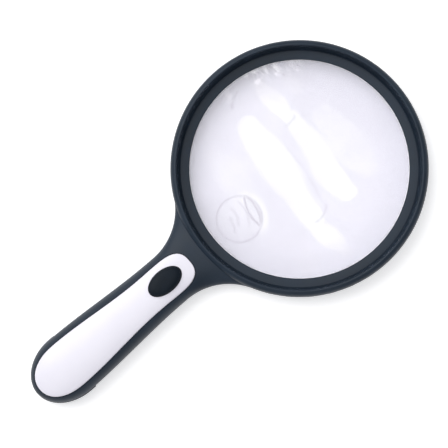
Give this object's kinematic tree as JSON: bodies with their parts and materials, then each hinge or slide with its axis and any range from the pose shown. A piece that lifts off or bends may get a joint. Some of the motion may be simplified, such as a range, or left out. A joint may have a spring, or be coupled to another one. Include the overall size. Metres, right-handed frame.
{
  "type": "low vision magnifier",
  "caption": "hand-held ring magnifier with a large clear lens, a stronger bifocal spot, a hidden LED light in the neck, an oval push switch and a battery compartment in the handle",
  "frame": {"origin": "under the middle of the whole object, on the surface that it lies on", "axes": "+X along the handle towards its tail, +Z out of the lens front, the side with the switch; the magnifier lies on its back"},
  "size_m": [0.2801, 0.1522, 0.0244],
  "materials": {
    "housing": "satin charcoal-black ABS with a fine moulded texture",
    "lens": null,
    "film": "thin milky protective film, slightly wrinkled",
    "panel": "smooth satin white plastic",
    "button": "soft-touch black",
    "switch": "dark grey switch body",
    "board": "green solder mask",
    "led": "clear epoxy",
    "resistor": "tan lacquer",
    "cell": "plain printed sleeve with no marks",
    "nickel": "nickel-plated steel",
    "screw": "dark zinc plate",
    "lead_red": "red PVC insulation",
    "lead_black": "black PVC insulation"
  },
  "bodies": {
    "root": {"front_housing": "housing", "rear_housing": "housing", "main_lens": "lens", "lens_film": "film", "handle_panel": "panel", "switch_body": "switch", "switch_board": "board", "led_board": "board", "led_1": "led", "led_2": "led", "led_3": "led", "led_4": "led", "led_resistor": "resistor", "battery_1": "cell", "battery_2": "cell", "battery_3": "cell", "battery_spring_1": "nickel", "battery_spring_2": "nickel", "battery_spring_3": "nickel", "contact_positive": "nickel", "contact_negative": "nickel", "contact_bridge_head": "nickel", "contact_bridge_tail": "nickel", "lead_positive": "lead_red", "lead_negative": "lead_black", "led_lead_positive": "lead_red", "led_lead_negative": "lead_black", "housing_screw_1": "screw", "housing_screw_2": "screw", "housing_screw_3": "screw", "housing_screw_4": "screw"},
    "button": {"switch_button": "button", "switch_plunger": "button"},
    "door": {"battery_door": "housing"}
  },
  "joints": [
    {"name": "button_press", "type": "slide", "parent": "root", "child": "button", "axis": [0, 0, 1], "range_m": [-0.0012, 0], "stiffness_N_per_m": 1200, "springref_m": 0.0006},
    {"name": "door_swing", "type": "hinge", "parent": "root", "child": "door", "pos_m": [0.0583, 0, 0.0023], "axis": [0, 1, 0], "range_deg": [0, 50]}
  ]
}
